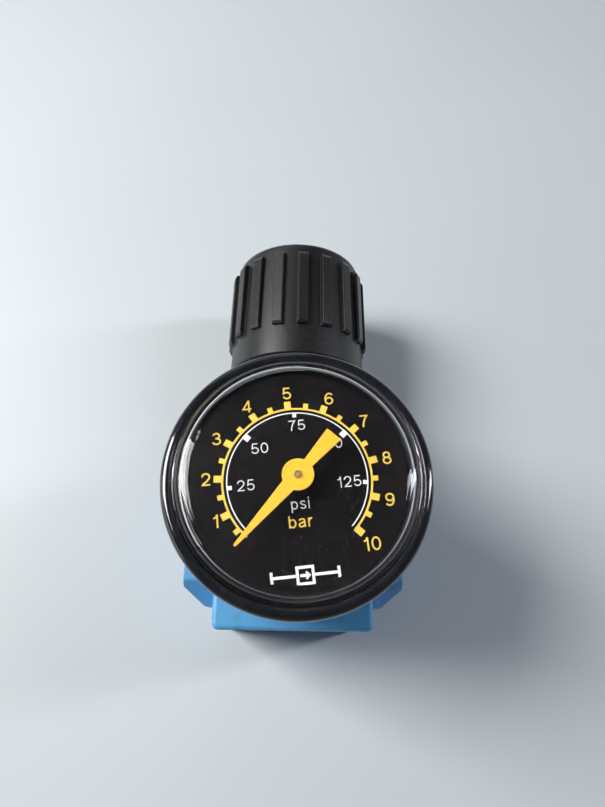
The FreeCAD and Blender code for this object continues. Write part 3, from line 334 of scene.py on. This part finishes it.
def mesh_object(name, mesh_maker, material):
    """Make an object of the faces that mesh_maker(builder) adds."""
    mesh = bpy.data.meshes.new(name)
    builder = bmesh.new()
    mesh_maker(builder)
    bmesh.ops.recalc_face_normals(builder, faces=builder.faces)
    builder.to_mesh(mesh)
    builder.free()
    mesh.materials.append(material)
    made = bpy.data.objects.new(name, mesh)
    bpy.context.scene.collection.objects.link(made)
    return made


def piece(name, mesh_maker, material, body):
    """Make a mesh piece that rides on a CAD body."""
    made = mesh_object(name, mesh_maker, material)
    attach(made, body)
    return made


def sleeve(builder, rows, closed=False):
    """Join each row of corners to the next; close the loop, or cap both ends."""
    pairs = list(zip(rows, rows[1:])) + ([(rows[-1], rows[0])] if closed else [])
    for first, second in pairs:
        for corner in range(len(first)):
            following = (corner + 1) % len(first)
            builder.faces.new((first[corner], first[following], second[following], second[corner]))
    if not closed:
        builder.faces.new(rows[0])
        builder.faces.new(rows[-1][::-1])


def ribbon(builder, points, width, low, high, closed=False):
    """A flat band of even width that follows points, as a closed solid from low to high."""
    count = len(points)
    rows = []
    for index, point in enumerate(points):
        before = points[index - 1] if index or closed else None
        after = points[(index + 1) % count] if index < count - 1 or closed else None
        heading_in = (point - before).normalized() if before is not None else None
        heading_out = (after - point).normalized() if after is not None else None
        heading_in = heading_in or heading_out
        heading_out = heading_out or heading_in
        heading = (heading_in + heading_out).normalized()
        side = Vector((-heading.y, heading.x))
        reach = width / 2 / max(0.5, side.dot(Vector((-heading_in.y, heading_in.x))))
        left, right = point + side * reach, point - side * reach
        rows.append([builder.verts.new((spot.x, spot.y, level))
                     for spot, level in ((left, high), (right, high), (right, low), (left, low))])
    sleeve(builder, rows, closed)


def tube(builder, path, radius):
    """A round bar along a path of points, closed at both ends."""
    sides = 10
    rings = []
    for index, point in enumerate(path):
        ahead = path[min(index + 1, len(path) - 1)] - path[max(index - 1, 0)]
        turn = ahead.to_track_quat("Z", "Y")
        angles = [2 * math.pi * side / sides for side in range(sides)]
        rings.append([builder.verts.new(point + turn @ Vector((
            radius * math.cos(angle), radius * math.sin(angle), 0))) for angle in angles])
    sleeve(builder, rings)


def thread_ridge(builder, origin, axis, radius, height, pitch, length, outward):
    """A helical V ridge on a cylinder: outward on a bolt, inward in a bore. It fades at both ends."""
    turn = axis.to_track_quat("Z", "Y")
    steps = 56
    total = int(steps * (length / pitch - 1))
    sign = 1 if outward else -1
    # The ridge's section, as shares of the pitch along the axis and of the height.
    section = ((-0.42, -0.06), (-0.08, 1.0), (0.08, 1.0), (0.42, -0.06))
    rows = []
    for step in range(total + 1):
        angle = 2 * math.pi * step / steps
        fade = min(1.0, step / steps * 2, (total - step) / steps * 2)
        along = pitch / 2 + pitch * step / steps
        row = []
        for shift, rise in section:
            reach = radius + sign * height * rise * fade
            spot = Vector((reach * math.cos(angle), reach * math.sin(angle), along + shift * pitch))
            row.append(builder.verts.new(origin + turn @ spot))
        rows.append(row)
    sleeve(builder, rows)


# ------------------------------------------------------------------ stroke lettering for the dial


def arc(cx, cy, rx, ry, start, end):
    """Points of an elliptic arc, angles in degrees."""
    steps = max(6, int(abs(end - start) / 12))
    return [(cx + rx * math.cos(math.radians(start + (end - start) * step / steps)),
             cy + ry * math.sin(math.radians(start + (end - start) * step / steps)))
            for step in range(steps + 1)]


# Each glyph is a list of strokes in a cell one unit high; True marks a closed stroke.
GLYPHS = {
    "0": [(arc(0.37, 0.5, 0.29, 0.44, 0, 348), True)],
    "1": [([(0.12, 0.73), (0.25, 0.75), (0.35, 0.82), (0.39, 0.98)], False),
          ([(0.41, 1.0), (0.41, 0.0)], False)],
    "2": [(arc(0.37, 0.68, 0.28, 0.26, 178, -28)
           + [(0.42, 0.33), (0.2, 0.18), (0.1, 0.06), (0.68, 0.06)], False)],
    "3": [(arc(0.36, 0.73, 0.24, 0.21, 165, -90) + [(0.29, 0.52)], False),
          ([(0.29, 0.52)] + arc(0.36, 0.29, 0.29, 0.23, 90, -168), False)],
    "4": [([(0.74, 0.27), (0.08, 0.27), (0.53, 0.94)], False), ([(0.55, 1.0), (0.55, 0.0)], False)],
    "5": [([(0.63, 0.94), (0.19, 0.94), (0.12, 0.49)] + arc(0.37, 0.32, 0.29, 0.26, 132, -162), False)],
    "6": [(arc(0.37, 0.32, 0.28, 0.26, 0, 348), True), (arc(0.43, 0.46, 0.34, 0.48, 186, 42), False)],
    "7": [([(0.08, 0.94), (0.68, 0.94), (0.5, 0.71), (0.36, 0.42), (0.29, 0.0)], False)],
    "8": [(arc(0.37, 0.735, 0.235, 0.205, 0, 348), True), (arc(0.37, 0.3, 0.285, 0.24, 0, 348), True)],
    "9": [(arc(0.37, 0.68, 0.28, 0.26, 0, 348), True), (arc(0.31, 0.54, 0.34, 0.48, 6, -138), False)],
    "p": [([(0.11, 0.73), (0.11, -0.26)], False), (arc(0.35, 0.365, 0.24, 0.31, 0, 348), True)],
    "s": [(arc(0.3, 0.53, 0.2, 0.15, 25, 190) + [(0.22, 0.41), (0.38, 0.35)]
           + arc(0.3, 0.205, 0.22, 0.155, 35, -165), False)],
    "i": [([(0.12, 0.73), (0.12, 0.0)], False), ([(0.12, 1.0), (0.12, 0.86)], False)],
    "b": [([(0.11, 1.0), (0.11, 0.0)], False), (arc(0.36, 0.365, 0.25, 0.31, 0, 348), True)],
    "a": [(arc(0.33, 0.52, 0.22, 0.16, 165, 0) + [(0.55, 0.12), (0.61, 0.04)], False),
          ([(0.55, 0.42), (0.32, 0.38)] + arc(0.29, 0.2, 0.19, 0.15, 95, 270)
           + [(0.45, 0.1), (0.55, 0.24)], False)],
    "r": [([(0.11, 0.73), (0.11, 0.0)], False), ([(0.12, 0.4)] + arc(0.34, 0.4, 0.22, 0.28, 165, 75), False)],
}
# How far each letter moves the next one on, as a share of the height.
ADVANCE = {"1": 0.66, "i": 0.33, "r": 0.5, "s": 0.7, "a": 0.78, "b": 0.8, "p": 0.79}
DIGIT_ADVANCE = 0.86

# The gauge stops a little short of upright on its thread, so its print is turned.
PRINT_TURN = math.radians(7)
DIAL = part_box("dial")[1].z
INK_THICK = 0.025 * MM
INK_LOW = DIAL + 0.002 * MM
INK_HIGH = DIAL + INK_THICK
INK_STEP = 0.006 * MM


def on_dial(x, y):
    """A dial position in metres from millimetres about the dial centre."""
    return Vector((x * MM, y * MM))


def at_bearing(reach, degrees):
    """A dial position at a distance and a bearing from the dial centre."""
    return on_dial(reach * math.cos(math.radians(degrees)), reach * math.sin(math.radians(degrees)))


def lettering(builder, text, centre, height, weight):
    """Write text about a centre, in millimetres; crossing strokes differ a little in thickness."""
    strokes = []
    across = 0.0
    for letter in text:
        for points, closed in GLYPHS[letter]:
            strokes.append(([Vector((x + across, y)) for x, y in points], closed))
        across += ADVANCE.get(letter, DIGIT_ADVANCE)
    spots = [point for points, closed in strokes for point in points]
    middle = Vector([(min(p[i] for p in spots) + max(p[i] for p in spots)) / 2 for i in (0, 1)])
    turn = Matrix.Rotation(PRINT_TURN, 2)
    for layer, (points, closed) in enumerate(strokes):
        placed = [on_dial(*centre) + turn @ ((point - middle) * height * MM) for point in points]
        top = DIAL + INK_THICK * (1 + 0.25 * (layer % 4))
        ribbon(builder, placed, weight * MM, INK_LOW, top, closed)


# ------------------------------------------------------------------ dial print

# Bearings in degrees and distances in millimetres, both about the dial centre.
ZERO_BEARING = 236.1
PER_BAR = 27.5
PSI_PER_BAR = 14.504
BAR_ARC = 11.35
PSI_ARC = 10.68


def bar_bearing(bar):
    """The bearing of a pressure in bar."""
    return ZERO_BEARING - PER_BAR * bar


def scale_arc(builder, reach, width, first, last):
    """The line of a scale, from one bearing to another."""
    steps = 120
    points = [at_bearing(reach, first + (last - first) * step / steps) for step in range(steps + 1)]
    ribbon(builder, points, width * MM, INK_LOW, INK_HIGH)


def tick(builder, start, end, bearing, width):
    """A mark across a scale, thicker than the line of the scale under it."""
    points = [at_bearing(start, bearing), at_bearing(end, bearing)]
    ribbon(builder, points, width * MM, INK_LOW, DIAL + INK_THICK * 1.6)


def bar_scale(builder):
    """Yellow scale: an arc, squares at each bar and small squares between them."""
    scale_arc(builder, BAR_ARC, width=0.32, first=bar_bearing(0.2), last=bar_bearing(10) - 1.5)
    for half_bars in range(1, 21):
        bearing = bar_bearing(half_bars / 2)
        if half_bars % 2:
            tick(builder, start=BAR_ARC, end=12.3, bearing=bearing, width=0.78)
        else:
            tick(builder, start=BAR_ARC - 0.1, end=12.65, bearing=bearing, width=1.05)


def psi_scale(builder):
    """White scale inside the yellow one, with squares that point inwards."""
    scale_arc(builder, PSI_ARC, width=0.18, first=bar_bearing(0.25), last=bar_bearing(10.03))
    for pressure in (25, 50, 75, 100, 125):
        bearing = bar_bearing(pressure / PSI_PER_BAR)
        if pressure % 50:
            tick(builder, start=PSI_ARC, end=9.95, bearing=bearing, width=0.62)
        else:
            tick(builder, start=PSI_ARC + 0.12, end=9.7, bearing=bearing, width=0.95)


# Centres of the numbers, in millimetres about the dial centre.
BAR_NUMBERS = {
    "1": (-11.97, -6.57), "2": (-13.78, -0.31), "3": (-12.63, 6.1), "4": (-8.16, 11.53), "5": (-1.98, 13.93),
    "6": (4.76, 13.23), "7": (10.27, 9.54), "8": (13.69, 3.72), "9": (13.95, -2.75), "10": (11.11, -9.33)}
PSI_NUMBERS = {
    "25": (-7.76, -1.07), "50": (-5.9, 4.78), "75": (-0.3, 8.59), "100": (5.0, 5.8), "125": (7.83, -0.12)}


def bar_numbers(builder):
    for text, centre in BAR_NUMBERS.items():
        lettering(builder, text, centre, height=1.98, weight=0.25)


def psi_numbers(builder):
    for text, centre in PSI_NUMBERS.items():
        lettering(builder, text, centre, height=1.7, weight=0.165)


def dial_mark(builder):
    """A generic flow symbol: a line through a square that holds an arrow."""
    turn = Matrix.Rotation(PRINT_TURN, 2)
    centre = on_dial(1.41, -13.98)
    line, half, end = 0.42 * MM, 1.15, 4.9

    def put(points):
        return [centre + turn @ on_dial(x, y) for x, y in points]

    square = [(-half, -half), (half, -half), (half, half), (-half, half)]
    ribbon(builder, put(square), line, INK_LOW, INK_HIGH, closed=True)
    for points in ([(-end, 0), (-1.3, 0)], [(1.3, 0), (end, 0)], [(-0.75, 0), (0.4, 0)]):
        ribbon(builder, put(points), line, INK_LOW, INK_HIGH)
    arrow_head = [(0.1, -0.5), (0.62, 0.0), (0.1, 0.5)]
    ribbon(builder, put(arrow_head), 0.3 * MM, INK_LOW, INK_HIGH + INK_STEP)
    for side in (-1, 1):
        bar = [(end * side, -0.85), (end * side, 0.85)]
        ribbon(builder, put(bar), line, INK_LOW, INK_HIGH + INK_STEP)


def bar_unit(builder):
    lettering(builder, "bar", (0.62, -6.28), height=1.82, weight=0.235)


def psi_unit(builder):
    lettering(builder, "psi", (0.5, -3.85), height=1.72, weight=0.17)


piece("bar_scale_print", bar_scale, INK_YELLOW, "base")
piece("psi_scale_print", psi_scale, INK_WHITE, "base")
piece("bar_numbers_print", bar_numbers, INK_YELLOW, "base")
piece("psi_numbers_print", psi_numbers, INK_WHITE, "base")
piece("bar_unit_print", bar_unit, INK_YELLOW, "base")
piece("psi_unit_print", psi_unit, INK_WHITE, "base")
piece("dial_mark_print", dial_mark, INK_WHITE, "base")

# ------------------------------------------------------------------ threads and springs

AXIS_HEIGHT = (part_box("knob_cap")[0].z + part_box("knob_cap")[1].z) / 2
BODY_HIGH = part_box("regulator_body")[1]
PORT_CORE = 5.72 * MM
PORT_PITCH = 1.337 * MM
PORT_INSET = 1.4 * MM
NECK_RADIUS = 13.0 * MM
NECK_PITCH = 1.5 * MM
NECK_START = BODY_HIGH.y + 4.2 * MM


def port_thread(name, side):
    """The thread inside the port on one side, -1 for the inlet and 1 for the outlet."""
    mouth = Vector((BODY_HIGH.x * side - PORT_INSET * side, 0, AXIS_HEIGHT))
    inwards = Vector((-side, 0, 0))
    piece(name, lambda builder: thread_ridge(
        builder, mouth, inwards, PORT_CORE, 0.42 * MM, PORT_PITCH, 9.0 * MM, outward=False),
        MATERIALS["body_paint"], "base")


def neck_thread(name, low, high):
    """The bonnet's outer thread between two heights along the spindle."""
    start = Vector((0, low, AXIS_HEIGHT))
    piece(name, lambda builder: thread_ridge(
        builder, start, Vector((0, 1, 0)), NECK_RADIUS, 0.38 * MM, NECK_PITCH, high - low, outward=True),
        MATERIALS["bonnet_black"], "base")


port_thread("inlet_port_thread", -1)
port_thread("outlet_port_thread", 1)
neck_thread("neck_thread_lower", NECK_START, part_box("panel_nut")[0].y)
neck_thread("neck_thread_upper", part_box("panel_nut")[1].y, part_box("knob")[0].y)


def coil_piece(name, node, turns, wire):
    """A wire spring in place of its CAD stand-in, riding on the base body.

    Its end turns lie nearly flat, and between them it rises evenly."""
    low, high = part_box(node)
    mean = (high.x - low.x) / 2 - wire
    length = high.y - low.y - wire * 2
    steps = 28
    end_rise = 0.07
    dead = 0.75 / turns
    path = []
    for step in range(int(turns * steps) + 1):
        share = step / (turns * steps)
        middle = min(1.0, max(0.0, (share - dead) / (1 - 2 * dead)))
        first = min(1.0, share / dead)
        last = max(0.0, (share - 1 + dead) / dead)
        rise = middle * (1 - 2 * end_rise) + end_rise * first + end_rise * last
        angle = 2 * math.pi * step / steps
        path.append(Vector((mean * math.cos(angle), low.y + wire + length * rise,
                            AXIS_HEIGHT + mean * math.sin(angle))))
    made = piece(name, lambda builder: tube(builder, path, wire * 0.92),
                 MATERIALS["spring_steel"], "base")
    for face in made.data.polygons:
        face.use_smooth = True
    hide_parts(node)
    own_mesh(made)


coil_piece("main_spring_wire", "main_spring", turns=5.5, wire=0.8 * MM)
coil_piece("valve_spring_wire", "valve_spring", turns=7.0, wire=0.4 * MM)

DIAPHRAGM_THICK = 0.8
# Half section of the diaphragm as radius and height above its seat on the body, in millimetres.
DIAPHRAGM_SECTION = [
    (2.6, 0.0), (8.0, 0.0), (8.35, -0.85), (8.7, -0.9), (9.4, -0.9), (9.75, -0.8), (10.1, 0.0), (13.0, 0.0),
    (13.0, DIAPHRAGM_THICK), (9.7, DIAPHRAGM_THICK), (9.3, -0.2), (8.8, -0.2),
    (8.4, DIAPHRAGM_THICK), (2.6, DIAPHRAGM_THICK)]
WEDGES = 12


def diaphragm_wedge(index):
    """One sector of the rubber diaphragm, with its fold between the clamped rim and the plates."""
    middle = 2 * math.pi * (index + 0.5) / WEDGES
    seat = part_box("diaphragm")[1].y - DIAPHRAGM_THICK * MM

    def around(radius, height, angle):
        return Vector((radius * MM * math.sin(angle), seat + height * MM,
                       AXIS_HEIGHT + radius * MM * math.cos(angle)))

    def sector(builder):
        steps = 4
        angles = [middle + math.pi / WEDGES * (2 * step / steps - 1) for step in range(steps + 1)]
        sleeve(builder, [[builder.verts.new(around(radius, height, angle))
                          for radius, height in DIAPHRAGM_SECTION] for angle in angles])

    made = mesh_object("diaphragm_flex_%d" % (index + 1), sector, MATERIALS["rubber_black"])
    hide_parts("diaphragm")
    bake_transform(made)


for wedge in range(WEDGES):
    diaphragm_wedge(wedge)

# ------------------------------------------------------------------ stage, light and camera


def floor():
    """A bench top just under the object, 3 m square."""
    half = 1.5
    corners = ((-half, -half), (half, -half), (half, half), (-half, half))

    def sheet(builder):
        builder.faces.new([builder.verts.new((x, y, 0)) for x, y in corners])

    made = mesh_object("floor", sheet, floor_pale())
    made.location.z = -0.02 * MM


LIT_POINT = Vector((0, 0, 30 * MM))


def softbox(name, bearing, elevation, distance, width, height, power, colour):
    """An area light on a sphere about the gauge, facing it."""
    light = bpy.data.lights.new(name, "AREA")
    light.shape = "RECTANGLE"
    light.size = width
    light.size_y = height
    light.energy = power
    light.color = colour
    made = bpy.data.objects.new(name, light)
    bpy.context.scene.collection.objects.link(made)
    az, el = math.radians(bearing), math.radians(elevation)
    away = Vector((math.cos(el) * math.cos(az), math.cos(el) * math.sin(az), math.sin(el)))
    made.location = LIT_POINT + away * distance
    made.rotation_mode = "QUATERNION"
    made.rotation_quaternion = away.to_track_quat("Z", "Y")


def surroundings():
    """A pale horizon that darkens overhead, so that the gloss black stays black."""
    world = bpy.data.worlds.new("studio")
    bpy.context.scene.world = world
    world.use_nodes = True
    tree = world.node_tree
    direction = tree.nodes.new("ShaderNodeTexCoord").outputs["Generated"]
    split = tree.nodes.new("ShaderNodeSeparateXYZ")
    tree.links.new(direction, split.inputs[0])
    ramp = tree.nodes.new("ShaderNodeValToRGB")
    tree.links.new(split.outputs["Z"], ramp.inputs[0])
    ramp.color_ramp.elements[0].position = 0.05
    ramp.color_ramp.elements[0].color = (0.62, 0.68, 0.72, 1)
    ramp.color_ramp.elements[1].position = 0.55
    ramp.color_ramp.elements[1].color = (0.05, 0.045, 0.05, 1)
    background = tree.nodes["Background"]
    tree.links.new(ramp.outputs[0], background.inputs[0])
    background.inputs[1].default_value = 0.32


def camera():
    """The viewing angle: close above the gauge, tipped towards the knob."""
    made = bpy.data.objects.new("camera", bpy.data.cameras.new("camera"))
    bpy.context.scene.collection.objects.link(made)
    place = Vector((-1.56, -21.39, 144.34)) * MM
    ahead = Vector((0.02223, 0.35070, -0.9362)).normalized()
    right = ahead.cross(Vector((-0.02452, 0.93638, 0.3502))).normalized()
    up = right.cross(ahead)
    facing = Matrix((right, up, -ahead)).transposed().to_4x4()
    made.matrix_world = Matrix.Translation(place) @ facing
    made.data.lens = 27.03
    made.data.sensor_width = 36
    made.data.sensor_fit = "AUTO"
    made.data.clip_start = 0.005
    bpy.context.scene.camera = made


floor()
softbox("key", bearing=162, elevation=46, distance=0.5, width=0.2, height=0.27, power=3.1,
        colour=(1.0, 0.98, 0.96))
softbox("side", bearing=14, elevation=36, distance=0.6, width=0.06, height=0.42, power=1.35,
        colour=(0.9, 0.91, 1.0))
softbox("low_left", bearing=188, elevation=14, distance=0.7, width=0.5, height=0.06, power=0.65,
        colour=(0.93, 0.9, 1.0))
softbox("top_back", bearing=105, elevation=30, distance=0.7, width=0.4, height=0.1, power=0.25,
        colour=(0.93, 0.95, 1.0))
surroundings()
camera()
bpy.context.scene.view_settings.view_transform = "Standard"
